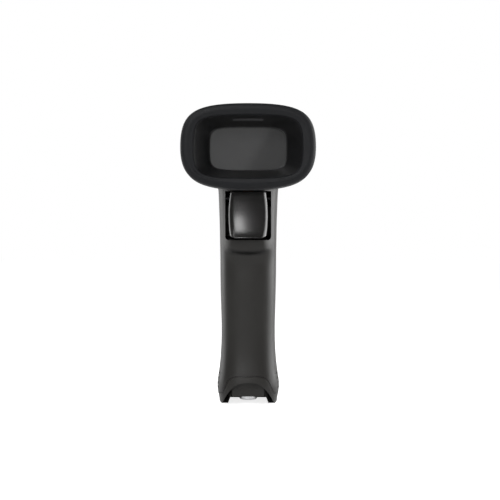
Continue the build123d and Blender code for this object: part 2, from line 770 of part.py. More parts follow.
# Trigger: a hollow barrel-sided lever on a pin, with a hub, a rib for the switch and a spring seat
trigger_low = opening_floor + 0.6
trigger_high = opening_top - 0.3
with BuildPart() as trigger:
    with BuildSketch(Plane.YZ):
        with BuildLine():
            Spline((-24.5, trigger_high), (-24.8, pin_z - 6), (-25.6, pin_z - 14),
                   (-27.6, pin_z - 20.2), (-29.2, trigger_low))
            Spline((-29.2, trigger_low), (-26.4, trigger_low + 1.1), (-23.0, trigger_low + 1.5))
            Polyline((-23.0, trigger_low + 1.5), (-13.0, trigger_low + 1.1), (-12.2, pin_z - 4),
                     (-11.0, trigger_high), (-24.5, trigger_high))
        make_face()
    extrude(amount=trigger_width / 2, both=True)
    with BuildSketch(Plane.XZ):
        with BuildLine():
            middle = (trigger_low + trigger_high) / 2
            ThreePointArc((-trigger_end_width / 2, trigger_high), (-trigger_width / 2, middle),
                          (-trigger_end_width / 2, trigger_low))
            ThreePointArc((trigger_end_width / 2, trigger_high), (trigger_width / 2, middle),
                          (trigger_end_width / 2, trigger_low))
            Line((-trigger_end_width / 2, trigger_low), (trigger_end_width / 2, trigger_low))
            Line((-trigger_end_width / 2, trigger_high), (trigger_end_width / 2, trigger_high))
        make_face()
    extrude(amount=far, both=True, mode=Mode.INTERSECT)
    fillet(trigger.edges().filter_by(lambda e: abs(e.center().X) > 9 and e.center().Y < -24
                                     and e.length > 8), trigger_edge_round)
    with BuildSketch(Plane.YZ):
        with BuildLine():
            Spline((-22.6, trigger_high - trigger_wall), (-22.9, pin_z - 6), (-23.7, pin_z - 14),
                   (-25.2, pin_z - 19))
            Polyline((-25.2, pin_z - 19), (-22.5, trigger_low + 3.2), (-5, trigger_low + 3.0),
                     (-5, trigger_high - trigger_wall), (-22.6, trigger_high - trigger_wall))
        make_face()
    extrude(amount=trigger_end_width / 2 - trigger_wall, both=True, mode=Mode.SUBTRACT)
    with BuildSketch(Plane.YZ):
        with Locations((pin_y, pin_z)):
            Circle(hub_radius)
    extrude(amount=trigger_end_width / 2 - 0.2, both=True)
    with Locations((0, switch_front - plunger_reach - 0.3, switch_z)):
        Box(3, 11.5, 5, align=(Align.CENTER, Align.MAX, Align.CENTER))
    with BuildSketch(Plane.XZ.offset(-spring_front)):
        with Locations((0, trigger_spring_z)):
            Circle(spring_coil_radius + spring_wire)
    extrude(amount=7.8)
    with BuildSketch(Plane.XZ.offset(-spring_front)):
        with Locations((0, trigger_spring_z)):
            Circle(spring_coil_radius - spring_wire)
    extrude(amount=-1.6)
    with BuildSketch(Plane.YZ):
        with Locations((pin_y, pin_z)):
            Circle(pin_diameter / 2 + pin_clearance)
    extrude(amount=trigger_width, both=True, mode=Mode.SUBTRACT)
save(trigger, "trigger")

with BuildPart() as trigger_pin:
    with BuildSketch(Plane.YZ):
        with Locations((pin_y, pin_z)):
            Circle(pin_diameter / 2)
    extrude(amount=pin_half_length - seat_gap, both=True)
save(trigger_pin, "trigger_pin")

with BuildPart() as trigger_spring:
    coil_height = spring_rear - spring_front - spring_wire - 0.1
    with BuildLine() as coil:
        Helix(pitch=coil_height / spring_turns, height=coil_height, radius=spring_coil_radius,
              center=(0, spring_front + spring_wire / 2 + 0.05, trigger_spring_z),
              direction=(0, 1, 0))
    with BuildSketch(Plane(origin=coil.line @ 0, z_dir=coil.line % 0)):
        Circle(spring_wire / 2)
    sweep(path=coil.line, is_frenet=True)
save(trigger_spring, "trigger_spring")

# Microswitch on its small board, its plunger, and the ribbon up to the main board
with BuildPart() as trigger_switch:
    with Locations((0, switch_front, switch_z)):
        Box(switch_width, switch_depth, switch_height,
            align=(Align.CENTER, Align.MIN, Align.CENTER))
    with BuildSketch(Plane.XZ.offset(-switch_front)):
        with Locations((0, switch_z)):
            Circle(plunger_diameter / 2 + pin_clearance)
    extrude(amount=-plunger_depth - 1.4, mode=Mode.SUBTRACT)
save(trigger_switch, "trigger_switch")

with BuildPart() as switch_plunger:
    with BuildSketch(Plane.XZ.offset(-switch_front - plunger_depth)):
        with Locations((0, switch_z)):
            Circle(plunger_diameter / 2)
    extrude(amount=plunger_reach + plunger_depth)
save(switch_plunger, "switch_plunger")

with BuildPart() as switch_board:
    with Locations((0, switch_board_front, spring_bar_top + 0.2)):
        Box(17, switch_board_thickness, 13, align=(Align.CENTER, Align.MIN, Align.MIN))
save(switch_board, "switch_board")

with BuildPart() as switch_flex:
    with Locations((0, switch_board_rear, switch_z + 2)):
        Box(6, 0.3, main_board_bottom - switch_z - 2,
            align=(Align.CENTER, Align.MIN, Align.MIN))
save(switch_flex, "switch_flex")

# Contacts over the cell, their board, and the two leads up to the main board
with BuildPart() as contact_board:
    with Locations((0, contact_board_front, contact_board_bottom)):
        Box(2 * contact_board_half_width, contact_board_rear - contact_board_front,
            board_thickness, align=(Align.CENTER, Align.MIN, Align.MIN))
    fillet(contact_board.edges().filter_by(Axis.Z), 1.5)
save(contact_board, "contact_board")

contact_dip = contact_board_bottom - cell_top - 0.3
with BuildPart() as battery_contacts:
    with BuildSketch(Plane.YZ):
        with BuildLine():
            ThreePointArc((cell_set_back - 6.2, contact_board_bottom),
                          (cell_set_back, contact_board_bottom - contact_dip),
                          (cell_set_back + 6.2, contact_board_bottom))
            Line((cell_set_back + 6.2, contact_board_bottom),
                 (cell_set_back + 5.4, contact_board_bottom))
            ThreePointArc((cell_set_back + 5.4, contact_board_bottom),
                          (cell_set_back, contact_board_bottom - contact_dip + 0.3),
                          (cell_set_back - 5.4, contact_board_bottom))
            Line((cell_set_back - 5.4, contact_board_bottom),
                 (cell_set_back - 6.2, contact_board_bottom))
        make_face()
    extrude(amount=2, both=True)
save(battery_contacts, "battery_contacts")

with BuildPart() as power_leads:
    for x in (-3, 3):
        with BuildLine() as route:
            FilletPolyline((x, 8, contact_board_top), (x, 8, contact_board_top + 14),
                           (x, 11, contact_board_top + 32), (x, 11, main_board_bottom), radius=20)
        with BuildSketch(Plane(origin=route.line @ 0, z_dir=route.line % 0)):
            Circle(0.7)
        sweep(path=route.line)
save(power_leads, "power_leads")


# Foot: the battery cap. Its rim is what the scanner stands on, and it hides the dock's recess
def arch(points, forward):
    """A symmetric arch across the foot, forward of its axis, from foot to top to foot."""
    with BuildSketch(Plane.XZ.offset(forward)) as outline:
        with BuildLine():
            left = [(-x, z) for x, z in points]
            right = [(x, z) for x, z in reversed(points[:-1])]
            Spline(*left, *right)
            Line(right[-1], left[0])
        make_face()
    return outline.sketch


dock_arch = [(11.6, -1.0), (10.9, 1.2), (8.9, 5.6), (6.0, 8.3), (0, 9.5)]
with BuildPart() as dock_recess:
    extrude(arch(dock_arch, -recess_rear), amount=far)
    with Locations((0, recess_pocket_front, -1)):
        Box(recess_pocket_width, recess_rear - recess_pocket_front - 0.5, recess_ceiling + 1,
            align=(Align.CENTER, Align.MIN, Align.MIN))

plug_row = (plug_lift, *grip_rows[3][1:])
collar_row = (foot_plate_top, 1.1, 1.7, 0.9)
collar_top = foot_plate_top + collar_height
with BuildPart() as battery_cap:
    loft(sections=[grip_section(row, 0) for row in grip_rows[:-4]])
    fillet(battery_cap.edges().group_by(Axis.Z)[0], rim_round)
    add(foot_region, mode=Mode.INTERSECT)
    extrude(arch([(15.0, -1.0), (14.2, 0.8), (9.8, 8.2), (6.4, 11.1), (0, 12.4)],
                 -skirt_notch_rear), amount=far, mode=Mode.SUBTRACT)
    extrude(grip_section(plug_row, wall + plug_gap), amount=foot_plate_top - plug_lift)
    extrude(grip_section(collar_row, wall + collar_gap), amount=collar_height)
    add(dock_recess.part, mode=Mode.SUBTRACT)
    with Locations((0, foot_screw_y, screw_block_bottom)):
        Box(screw_block_width, screw_block_depth, recess_ceiling - screw_block_bottom,
            align=(Align.CENTER, Align.CENTER, Align.MIN))
    with BuildSketch(Plane.XY.offset(foot_plate_top)):
        with Locations((0, cell_set_back)):
            Circle(cell_radius + 1.5 * seat_gap)
    extrude(amount=collar_height, mode=Mode.SUBTRACT)
    with BuildSketch(Plane.XY):
        with Locations((0, foot_screw_y)):
            Circle(foot_screw_shank / 2 + pin_clearance)
    extrude(amount=collar_top, mode=Mode.SUBTRACT)
    for side in (-1, 1):
        with Locations((side * charge_pad_x, charge_pad_y, recess_ceiling)):
            Box(*charge_pad, align=(Align.CENTER, Align.CENTER, Align.MIN), mode=Mode.SUBTRACT)
            Cylinder(1.0, foot_plate_top - recess_ceiling - 1.5,
                     align=(Align.CENTER, Align.CENTER, Align.MIN), mode=Mode.SUBTRACT)
save(battery_cap, "battery_cap")

with BuildPart() as charge_contacts:
    for side in (-1, 1):
        with Locations((side * charge_pad_x, charge_pad_y, recess_ceiling)):
            Box(*charge_pad, align=(Align.CENTER, Align.CENTER, Align.MIN))
            Cylinder(1.0, foot_plate_top - recess_ceiling - 1.5,
                     align=(Align.CENTER, Align.CENTER, Align.MIN))
save(charge_contacts, "charge_contacts")

with BuildPart() as cap_seal:
    seal_row = (foot_plate_top + seal_from_plate, *collar_row[1:])
    extrude(grip_section(seal_row, wall + seal_gap), amount=seal_height)
    extrude(grip_section(seal_row, wall + collar_gap), amount=seal_height, mode=Mode.SUBTRACT)
save(cap_seal, "cap_seal")

with BuildPart() as cell_plate:
    with BuildSketch(Plane.XY.offset(foot_plate_top)):
        with Locations((0, cell_set_back)):
            Circle(cell_radius - 2.5)
    extrude(amount=cell_plate_thickness)
save(cell_plate, "cell_plate")

cell_button_height = 1.2
with BuildPart() as battery_cell:
    with BuildSketch(Plane.XY.offset(cell_bottom)):
        with Locations((0, cell_set_back)):
            Circle(cell_radius)
    extrude(amount=cell_length - cell_button_height)
    fillet(battery_cell.edges(), 0.8)
    with BuildSketch(Plane.XY.offset(cell_top - cell_button_height)):
        with Locations((0, cell_set_back)):
            Circle(4)
    extrude(amount=cell_button_height)
save(battery_cell, "battery_cell")

# Foot's screw, turned with a coin, and the brass insert that it bites in
with BuildPart() as cap_screw:
    with BuildSketch(Plane.XY.offset(screw_block_bottom)):
        with Locations((0, foot_screw_y)):
            Circle(foot_screw_head / 2)
    extrude(amount=-foot_screw_head_height)
    fillet(cap_screw.edges().group_by(Axis.Z)[0], 1.2)
    with Locations((0, foot_screw_y, screw_block_bottom - foot_screw_head_height)):
        Box(2 * foot_screw_head, foot_screw_slot, foot_screw_slot_depth,
            align=(Align.CENTER, Align.CENTER, Align.MIN), mode=Mode.SUBTRACT)
    with BuildSketch(Plane.XY.offset(screw_block_bottom)):
        with Locations((0, foot_screw_y)):
            Circle(foot_screw_shank / 2)
    extrude(amount=foot_screw_reach - screw_block_bottom)
save(cap_screw, "cap_screw")

with BuildPart() as screw_insert:
    with BuildSketch(Plane.XY.offset(insert_bottom)):
        with Locations((0, foot_screw_y)):
            Circle(insert_radius)
            Circle(foot_screw_shank / 2 + seat_gap, mode=Mode.SUBTRACT)
    extrude(amount=insert_length)
save(screw_insert, "screw_insert")
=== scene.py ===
import math

import bpy
import numpy as np
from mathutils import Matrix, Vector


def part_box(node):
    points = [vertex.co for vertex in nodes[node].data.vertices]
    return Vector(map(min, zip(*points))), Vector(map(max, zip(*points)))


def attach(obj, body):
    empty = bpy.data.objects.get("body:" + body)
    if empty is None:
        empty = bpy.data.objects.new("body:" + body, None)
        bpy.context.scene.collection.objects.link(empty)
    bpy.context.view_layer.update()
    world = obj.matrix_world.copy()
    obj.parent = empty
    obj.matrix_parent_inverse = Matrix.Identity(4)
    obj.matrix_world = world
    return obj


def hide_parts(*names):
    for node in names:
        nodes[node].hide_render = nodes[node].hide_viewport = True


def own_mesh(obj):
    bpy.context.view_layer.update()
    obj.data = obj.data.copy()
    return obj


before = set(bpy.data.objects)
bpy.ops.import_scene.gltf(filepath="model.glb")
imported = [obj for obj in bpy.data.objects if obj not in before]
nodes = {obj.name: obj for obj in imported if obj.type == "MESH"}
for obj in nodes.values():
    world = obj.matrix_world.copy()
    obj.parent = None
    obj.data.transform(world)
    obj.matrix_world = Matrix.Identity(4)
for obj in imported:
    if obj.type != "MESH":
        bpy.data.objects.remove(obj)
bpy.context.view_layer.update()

scene = bpy.context.scene
MM = 0.001

# ------------------------------------------------------------------------------------------
# Shells. Two mouldings of warm dark grey plastic with a fine spark texture, closed by screws
# from the chin and the back of the grip. The moulded grain is shared by every plastic here.
# ------------------------------------------------------------------------------------------
SHELL_GREY = (0.0150, 0.0141, 0.0128)
SHELL_GLOSS = 0.30
SHELL_ROUGHNESS = 0.43
SPARK_PER_METRE = 2400.0
SPARK_DEPTH = 0.16
SPARK_HEIGHT = 0.15 * MM
MOTTLES_PER_METRE = 48.0


def add(tree, kind, inputs=None, **settings):
    """One shader node. Each input is a plain value or the output of another node."""
    node = tree.nodes.new(kind)
    for key, value in settings.items():
        setattr(node, key, value)
    for key, value in (inputs or {}).items():
        if isinstance(value, bpy.types.NodeSocket):
            tree.links.new(value, node.inputs[key])
        else:
            node.inputs[key].default_value = value
    return node


def new_group(name, wanted, given):
    """An empty shader group with the named inputs, (kind, value) each, and outputs."""
    group = bpy.data.node_groups.new(name, "ShaderNodeTree")
    for key, (kind, value) in wanted.items():
        socket = group.interface.new_socket(key, in_out="INPUT", socket_type="NodeSocket" + kind)
        socket.default_value = value
    for key, kind in given.items():
        group.interface.new_socket(key, in_out="OUTPUT", socket_type="NodeSocket" + kind)
    return group


def new_material(name):
    """A material with an empty tree, and the tree."""
    material = bpy.data.materials.new(name)
    material.use_nodes = True
    material.node_tree.nodes.clear()
    return material, material.node_tree


def make_grain():
    """Moulded grain: broad mottling of the colour and the gloss, and a fine spark in the height."""
    group = new_group("moulded_grain",
                      {"Colour": ("Color", (0.5, 0.5, 0.5, 1)), "Mottle": ("Float", 0.1),
                       "Roughness": ("Float", 0.5), "Spread": ("Float", 0.08),
                       "Grains": ("Float", SPARK_PER_METRE), "Depth": ("Float", SPARK_DEPTH)},
                      {"Colour": "Color", "Roughness": "Float", "Normal": "Vector"})
    given = add(group, "NodeGroupInput").outputs
    place = add(group, "ShaderNodeTexCoord").outputs["Object"]
    broad = add(group, "ShaderNodeTexNoise", {"Vector": place, "Scale": MOTTLES_PER_METRE,
                                              "Detail": 4.0})
    fine = add(group, "ShaderNodeTexNoise", {"Vector": place, "Scale": given["Grains"],
                                             "Detail": 2.0})
    swing = add(group, "ShaderNodeMath", {0: broad.outputs[0], 1: 0.5}, operation="SUBTRACT")
    speck = add(group, "ShaderNodeMath", {0: fine.outputs[0], 1: 0.5}, operation="SUBTRACT")
    both = add(group, "ShaderNodeMath", {0: swing.outputs[0], 1: speck.outputs[0]})
    shade = add(group, "ShaderNodeMath", {0: both.outputs[0], 1: given["Mottle"]},
                operation="MULTIPLY")
    light = add(group, "ShaderNodeMath", {0: shade.outputs[0], 1: 2.0, 2: 1.0},
                operation="MULTIPLY_ADD")
    colour = add(group, "ShaderNodeVectorMath", {0: given["Colour"], "Scale": light.outputs[0]},
                 operation="SCALE")
    rough = add(group, "ShaderNodeMath", {0: both.outputs[0], 1: given["Spread"],
                                          2: given["Roughness"]}, operation="MULTIPLY_ADD")
    bump = add(group, "ShaderNodeBump", {"Strength": given["Depth"], "Distance": SPARK_HEIGHT,
                                         "Height": fine.outputs[0]})
    add(group, "NodeGroupOutput", {"Colour": colour.outputs[0], "Roughness": rough.outputs[0],
                                   "Normal": bump.outputs[0]})
    return group


moulded_grain = make_grain()


def moulded(name, colour, roughness, mottle=0.12, spread=0.10, grains=SPARK_PER_METRE,
            depth=SPARK_DEPTH, marks=None, **plain):
    """A moulded finish over the grain. marks is a group whose outputs darken the colour with
    painted shade and raise a height, such as at a crease or a hollow, and plain holds the
    shader's own sockets, set directly."""
    material, tree = new_material(name)
    grain = add(tree, "ShaderNodeGroup", node_tree=moulded_grain)
    for key, value in (("Colour", (*colour, 1)), ("Mottle", mottle), ("Roughness", roughness),
                       ("Spread", spread), ("Grains", grains), ("Depth", depth)):
        grain.inputs[key].default_value = value
    tone, normal = grain.outputs["Colour"], grain.outputs["Normal"]
    if marks:
        mark = add(tree, "ShaderNodeGroup", node_tree=marks)
        # the mark darkens the colour with painted shade
        shaded = add(tree, "ShaderNodeVectorMath", {0: tone, "Scale": mark.outputs["PaintedShade"]},
                    operation="SCALE")
        raised = add(tree, "ShaderNodeBump", {"Strength": 1.0, "Distance": MM, "Normal": normal,
                                              "Height": mark.outputs["Height"]})
        tone, normal = shaded.outputs[0], raised.outputs[0]
    surface = add(tree, "ShaderNodeBsdfPrincipled", {"Base Color": tone, "Normal": normal,
                                                     "Roughness": grain.outputs["Roughness"]})
    for key, value in plain.items():
        surface.inputs[key].default_value = value
    add(tree, "ShaderNodeOutputMaterial", {"Surface": surface.outputs[0]})
    return material


def dress(material, *names):
    """Gives CAD nodes their finish."""
    for name in names:
        nodes[name].data.materials.clear()
        nodes[name].data.materials.append(material)


LEDGE_Z = 83.4 * MM             # the crease under the ledge that the trigger finger rests on
LEDGE_RISE = 11.0               # how fast it curves up to its ends, per metre
LEDGE_HALF_HEIGHT = 1.5 * MM
LEDGE_END_X = 13.5 * MM         # it fades out from the second of these to the first
LEDGE_FULL_X = 0.6 * LEDGE_END_X
LEDGE_END_Y, LEDGE_FULL_Y = -4 * MM, -10 * MM
LEDGE_DEPTH = 1.5               # in millimetres
# painted shade: the colour darkens by up to this share along the crease, fading out over the reach
LEDGE_SHADE = 0.80
LEDGE_SHADE_REACH = 1.6 * LEDGE_HALF_HEIGHT


def make_ledge_and_shade():
    """The ledge's lower edge: the height climbs through a smooth step as z passes a line that
    rises with the square of x, and fades out to the sides and behind the front of the grip.
    Near that line the colour is darkened with painted shade, standing for the crease's shadow."""
    group = new_group("finger_ledge_and_shade", {}, {"PaintedShade": "Float", "Height": "Float"})
    place = add(group, "ShaderNodeTexCoord").outputs["Object"]
    at = add(group, "ShaderNodeSeparateXYZ", {0: place}).outputs
    square = add(group, "ShaderNodeMath", {0: at["X"], 1: at["X"]}, operation="MULTIPLY")
    curve = add(group, "ShaderNodeMath", {0: square.outputs[0], 1: LEDGE_RISE, 2: LEDGE_Z},
                operation="MULTIPLY_ADD")
    above = add(group, "ShaderNodeMath", {0: at["Z"], 1: curve.outputs[0]}, operation="SUBTRACT")
    side = add(group, "ShaderNodeMath", {0: at["X"]}, operation="ABSOLUTE")
    inside = add(group, "ShaderNodeMapRange", {"Value": side.outputs[0], "From Min": LEDGE_END_X,
                                               "From Max": LEDGE_FULL_X, "To Min": 0.0,
                                               "To Max": 1.0}, interpolation_type="SMOOTHSTEP")
    front = add(group, "ShaderNodeMapRange", {"Value": at["Y"], "From Min": LEDGE_END_Y,
                                              "From Max": LEDGE_FULL_Y, "To Min": 0.0,
                                              "To Max": 1.0}, interpolation_type="SMOOTHSTEP")
    where = add(group, "ShaderNodeMath", {0: inside.outputs[0], 1: front.outputs[0]},
                operation="MULTIPLY")
    step = add(group, "ShaderNodeMapRange", {"Value": above.outputs[0],
                                             "From Min": -LEDGE_HALF_HEIGHT,
                                             "From Max": LEDGE_HALF_HEIGHT,
                                             "To Min": 0.0, "To Max": LEDGE_DEPTH},
               interpolation_type="SMOOTHSTEP")
    height = add(group, "ShaderNodeMath", {0: step.outputs[0], 1: where.outputs[0]},
                 operation="MULTIPLY")
    far = add(group, "ShaderNodeMath", {0: above.outputs[0]}, operation="ABSOLUTE")
    shade = add(group, "ShaderNodeMapRange", {"Value": far.outputs[0], "From Min": 0.0,
                                              "From Max": LEDGE_SHADE_REACH,
                                              "To Min": LEDGE_SHADE, "To Max": 0.0},
                interpolation_type="SMOOTHSTEP")
    local = add(group, "ShaderNodeMath", {0: shade.outputs[0], 1: where.outputs[0]},
                operation="MULTIPLY")
    tone = add(group, "ShaderNodeMath", {0: 1.0, 1: local.outputs[0]}, operation="SUBTRACT")
    add(group, "NodeGroupOutput", {"PaintedShade": tone.outputs[0], "Height": height.outputs[0]})
    return group


shell_plastic = moulded("shell_plastic", SHELL_GREY, SHELL_ROUGHNESS, marks=make_ledge_and_shade(),
                        **{"Specular IOR Level": SHELL_GLOSS})
dress(shell_plastic, "front_shell", "rear_shell")

# ------------------------------------------------------------------------------------------
# Nose bumper. One ring of blue-black rubber stretched over the nose, with a wide front ring
# that turns in to the mouth. It is a matte moulding with soft rounds at every edge.
# ------------------------------------------------------------------------------------------
BUMPER_BLACK = (0.0056, 0.0060, 0.0072)
BUMPER_WALL = 2.2 * MM
BUMPER_FACE = 2.4 * MM
BUMPER_ROUND = 3.4 * MM
BUMPER_LIP_ROUND = 1.1 * MM
FACE_FALL = 0.35 * MM           # the front ring falls this much towards the mouth
RING_SIDE, RING_TOP, RING_BOTTOM = 7.2 * MM, 6.4 * MM, 5.6 * MM
FULL_UP, FULL_DOWN, FULL_MOUTH = 0.80, 0.76, 0.92
EDGE_SOFTNESS = 0.3 * MM
EDGE = 0.05 * MM                # the small flat that keeps a sharp edge crisp
QUARTER_STEPS = 30              # round a quarter of the outline
ROUND_STEPS, SMALL_ROUND_STEPS = 10, 4
SIDE_STEPS, FACE_STEPS = 5, 6

bumper_low, bumper_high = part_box("nose_bumper")
NOSE_HALF = bumper_high.x
NOSE_UP = 22.9 * MM
NOSE_AXIS = bumper_high.z - NOSE_UP
NOSE_DOWN = NOSE_AXIS - bumper_low.z
NOSE_FRONT, NOSE_REAR = bumper_low.y, bumper_high.y


def outline_rows(y, grow, axis, half, up, down, full_up, full_down):
    """Rows (y, axis, half width, up, down, fullness up, fullness down), one for each y, of an
    outline made larger by grow."""
    y, grow = np.broadcast_arrays(np.asarray(y, float), np.asarray(grow, float))
    same = np.ones_like(y)
    return np.stack([y, axis * same, half + grow, up + grow, down + grow, full_up * same,
                     full_down * same], axis=-1).reshape(-1, 7)


def nose_rows(y, inset):
    """Rows of the nose's outline, made smaller by inset."""
    return outline_rows(y, -np.asarray(inset, float), NOSE_AXIS, NOSE_HALF, NOSE_UP, NOSE_DOWN,
                        FULL_UP, FULL_DOWN)


def mouth_rows(y, grow):
    """Rows of the opening in the front ring, made larger by grow."""
    return outline_rows(y, grow, NOSE_AXIS, NOSE_HALF - RING_SIDE, NOSE_UP - RING_TOP,
                        NOSE_DOWN - RING_BOTTOM, FULL_MOUTH, FULL_MOUTH)


def oval_rings(rows):
    """Closed rings, one for each row. A quarter is the cubic curve whose end points lie on the
    axes and whose inner points stand 'fullness' of the way to the quarter's corner, so across
    it goes as (1-s)^3 + 3(1-s)^2 s + 3 full (1-s) s^2, and upwards as the same read backwards."""
    y, centre, half, up, down, full_up, full_down = (column[:, None] for column in rows.T)
    s = np.linspace(0, 1, QUARTER_STEPS, endpoint=False)[None, :]

    def leaving(full):
        return (1 - s)**3 + 3 * (1 - s)**2 * s + 3 * full * (1 - s) * s**2

    def arriving(full):
        return 3 * full * (1 - s)**2 * s + 3 * (1 - s) * s**2 + s**3

    x = np.concatenate([half * leaving(full_up), -half * arriving(full_up),
                        -half * leaving(full_down), half * arriving(full_down)], axis=1)
    z = np.concatenate([up * arriving(full_up), up * leaving(full_up),
                        -down * arriving(full_down), -down * leaving(full_down)], axis=1)
    return np.stack([x, np.broadcast_to(y, x.shape), z + centre], axis=-1)


def mesh_piece(name, points, faces):
    """A smooth mesh object from arrays. Faces are turned outwards by the sign of the volume,
    which is a sixth of the sum of a . (b x c) over the triangles of every face."""
    faces = np.asarray(faces)
    a, b, c, d = (points[faces[:, k]] for k in range(4))
    volume = (np.einsum("ij,ij", a, np.cross(b, c)) + np.einsum("ij,ij", a, np.cross(c, d))) / 6
    if volume < 0:
        faces = faces[:, ::-1]
    mesh = bpy.data.meshes.new(name)
    mesh.from_pydata(points, [], faces.tolist())
    mesh.validate()
    mesh.shade_smooth()
    piece = bpy.data.objects.new(name, mesh)
    scene.collection.objects.link(piece)
    return piece


def closed_skin(name, rings):
    """A skin over (rows, turns, 3) points that closes on itself both ways, as a rubber ring."""
    rows, turns = rings.shape[:2]
    row, turn = np.meshgrid(np.arange(rows), np.arange(turns), indexing="ij")
    here = row * turns + turn
    beside = row * turns + (turn + 1) % turns
    over = (row + 1) % rows * turns + turn
    across = (row + 1) % rows * turns + (turn + 1) % turns
    faces = np.stack([here, beside, across, over], axis=-1).reshape(-1, 4)
    return mesh_piece(name, rings.reshape(-1, 3), faces)


def between(first, last, count):
    """Rows from one to the other in equal steps, without the two ends."""
    share = np.linspace(0, 1, count + 2)[1:-1, None]
    return first + (last - first) * share


def finished(piece, body, slot, material, *stands_for):
    """Puts a piece on its body, in place of CAD nodes, with its finish."""
    piece.data.materials.append(material)
    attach(piece, body)
    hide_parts(*stands_for)


quarter = np.linspace(0, math.pi / 2, ROUND_STEPS)
small_quarter = np.linspace(0, math.pi / 2, SMALL_ROUND_STEPS)
ring_outer = nose_rows(NOSE_FRONT, BUMPER_ROUND)
ring_inner = mouth_rows(NOSE_FRONT + FACE_FALL, BUMPER_LIP_ROUND)
ring_back = NOSE_FRONT + BUMPER_FACE
bumper_rows = np.concatenate([
    nose_rows(NOSE_REAR - EDGE_SOFTNESS * (1 - np.cos(small_quarter)),
              EDGE_SOFTNESS * (1 - np.sin(small_quarter))),
    between(nose_rows(NOSE_REAR, 0), nose_rows(NOSE_FRONT + BUMPER_ROUND, 0),
            SIDE_STEPS),
    nose_rows(NOSE_FRONT + BUMPER_ROUND * (1 - np.sin(quarter)),
              BUMPER_ROUND * (1 - np.cos(quarter))),
    between(ring_outer, ring_inner, FACE_STEPS),
    mouth_rows(NOSE_FRONT + FACE_FALL + BUMPER_LIP_ROUND * (1 - np.cos(quarter)),
               BUMPER_LIP_ROUND * (1 - np.sin(quarter))),
    mouth_rows(ring_back - EDGE, 0),
    mouth_rows(ring_back, EDGE),
    nose_rows(ring_back, BUMPER_WALL + EDGE),
    nose_rows(ring_back + EDGE, BUMPER_WALL),
    nose_rows(NOSE_REAR - EDGE, BUMPER_WALL),
    nose_rows(NOSE_REAR, BUMPER_WALL - EDGE),
])
bumper_rubber = moulded("bumper_rubber", BUMPER_BLACK, 0.62, mottle=0.14, grains=3600.0, depth=0.10,
                        **{"Specular IOR Level": 0.22})
bumper = closed_skin("bumper_ring", oval_rings(bumper_rows))
finished(bumper, "housing", "bumper_rubber", bumper_rubber, "nose_bumper")

# ------------------------------------------------------------------------------------------
# Nose bezel. One matte black moulding: a flange behind the bumper's ring, a funnel down to the
# window's frame, and a spigot that slides into the shells. A frosted strip lights it from above.
# ------------------------------------------------------------------------------------------
FUNNEL_BLACK = (0.0022, 0.0023, 0.0027)
FROSTED_GREY = (0.050, 0.050, 0.052)
SEAT_GAP = 0.1 * MM
SHELL_STEP = 1.2 * MM           # the bumper stands this far outside the shells
SHELL_WALL = 2.2 * MM
SPIGOT_WALL = 1.7 * MM
FUNNEL_WALL = 1.6 * MM
FLANGE = 3.0 * MM
FRAME_RIM = 1.9 * MM
FRAME_DEPTH = 3.0 * MM
WINDOW_LIP = 1.4 * MM
LIP_ROUND = 0.25 * MM
FUNNEL_STEPS = 10
FUNNEL_STEPS_KEPT = 7           # on its back, where the flange takes over
FULL_WINDOW = 1.05
FULL_OPENING = 0.97             # the opening in the frame is rounder than the pane

bezel_low, bezel_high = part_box("nose_bezel")
window_low, window_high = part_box("window")
WINDOW_HALF = window_high.x
WINDOW_UP = (window_high.z - window_low.z) / 2
WINDOW_AXIS = (window_high.z + window_low.z) / 2
BEZEL_FRONT, SPIGOT_REAR = bezel_low.y, bezel_high.y
FRAME_FRONT, FRAME_SEAT = NOSE_REAR, window_low.y
FRAME_REAR = FRAME_FRONT + FRAME_DEPTH


def window_rows(y, grow, full=FULL_WINDOW):
    """Rows of the window's outline, made larger by grow."""
    return outline_rows(y, grow, WINDOW_AXIS, WINDOW_HALF, WINDOW_UP, WINDOW_UP, full, full)


flange_outer = BUMPER_WALL + SEAT_GAP
spigot_outer = SHELL_STEP + SHELL_WALL + 2 * SEAT_GAP
lip_start = window_rows(FRAME_FRONT, -WINDOW_LIP + LIP_ROUND, FULL_OPENING)
bezel_rows = np.concatenate([
    nose_rows(FRAME_FRONT, flange_outer + EDGE),
    nose_rows(FRAME_FRONT - EDGE, flange_outer),
    nose_rows(BEZEL_FRONT + EDGE, flange_outer),
    nose_rows(BEZEL_FRONT, flange_outer + EDGE),
    mouth_rows(BEZEL_FRONT, EDGE),
    mouth_rows(BEZEL_FRONT + EDGE, 0),
    between(mouth_rows(BEZEL_FRONT, 0), lip_start, FUNNEL_STEPS),
    window_rows(FRAME_FRONT + LIP_ROUND * (1 - np.cos(quarter)),
                -WINDOW_LIP + LIP_ROUND * (1 - np.sin(quarter)), FULL_OPENING),
    window_rows(FRAME_SEAT - EDGE, -WINDOW_LIP, FULL_OPENING),
    window_rows(FRAME_SEAT, -WINDOW_LIP + EDGE),
    window_rows(FRAME_SEAT, SEAT_GAP),
    window_rows(FRAME_REAR, SEAT_GAP + EDGE),
    window_rows(FRAME_REAR, FRAME_RIM),
    window_rows(FRAME_FRONT, FRAME_RIM),
    window_rows(FRAME_FRONT, FUNNEL_WALL - WINDOW_LIP),
    between(window_rows(FRAME_FRONT, FUNNEL_WALL - WINDOW_LIP),
            mouth_rows(BEZEL_FRONT, FUNNEL_WALL), FUNNEL_STEPS)[:FUNNEL_STEPS_KEPT],
    nose_rows(BEZEL_FRONT + FLANGE, spigot_outer + SPIGOT_WALL),
    nose_rows(SPIGOT_REAR, spigot_outer + SPIGOT_WALL),
    nose_rows(SPIGOT_REAR, spigot_outer),
    nose_rows(FRAME_FRONT, spigot_outer),
])
funnel_plastic = moulded("funnel_plastic", FUNNEL_BLACK, 0.42, grains=3000.0, depth=0.12)
bezel = closed_skin("nose_funnel", oval_rings(bezel_rows))
finished(bezel, "housing", "funnel_plastic", funnel_plastic, "nose_bezel")

frosted_plastic = moulded("frosted_plastic", FROSTED_GREY, 0.45, mottle=0.06)
dress(frosted_plastic, "nose_light_bar")

